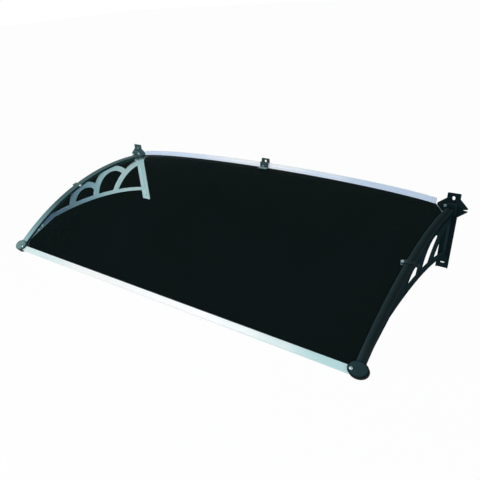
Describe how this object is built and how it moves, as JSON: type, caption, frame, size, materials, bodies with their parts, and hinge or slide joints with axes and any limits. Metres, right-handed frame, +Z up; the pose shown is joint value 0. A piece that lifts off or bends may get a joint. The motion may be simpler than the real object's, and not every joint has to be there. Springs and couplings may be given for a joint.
{
  "type": "window awning",
  "caption": "Curved smoked sheet awning with arched wall brackets, aluminium front and rear bars and a middle wall clip.",
  "frame": {"origin": "back of the middle clip, on the wall at mid-width, 36.8 mm above the lowest line of the rear bar", "axes": "+X to the right as seen by someone facing the wall's front side from the street, +Y into the wall, +Z up; the awning reaches towards -Y"},
  "size_m": [1.2806, 0.6245, 0.2535],
  "materials": {
    "smoked_sheet": "smoked clear polycarbonate, polished both sides",
    "silver_moulding": "fine-grained satin moulding",
    "slate_moulding": "fine-grained satin moulding",
    "charcoal_moulding": "fine-grained satin moulding",
    "front_aluminium": "bright anodised extrusion",
    "rear_aluminium": "satin anodised extrusion",
    "black_rubber": "matt",
    "plated_steel": "bright plated"
  },
  "bodies": {
    "root": {"clip_screw": "plated_steel", "front_bar": "front_aluminium", "front_gasket": "black_rubber", "left_arm_clamp": "slate_moulding", "left_bracket": "silver_moulding", "left_cap_screw": "plated_steel", "left_clamp_nut": "plated_steel", "left_clamp_screw": "plated_steel", "left_cover_strip": "slate_moulding", "left_front_cap": "slate_moulding", "left_nose_screw": "plated_steel", "left_wall_seal": "black_rubber", "left_web_screw_1": "plated_steel", "left_web_screw_2": "plated_steel", "middle_clip": "slate_moulding", "rear_bar": "rear_aluminium", "rear_gasket": "black_rubber", "right_arm_clamp": "charcoal_moulding", "right_bracket": "charcoal_moulding", "right_cap_screw": "plated_steel", "right_clamp_nut": "plated_steel", "right_clamp_screw": "plated_steel", "right_cover_strip": "charcoal_moulding", "right_front_cap": "charcoal_moulding", "right_nose_screw": "plated_steel", "right_wall_seal": "black_rubber", "right_web_screw_1": "plated_steel", "right_web_screw_2": "plated_steel", "sheet": "smoked_sheet"}
  },
  "joints": []
}
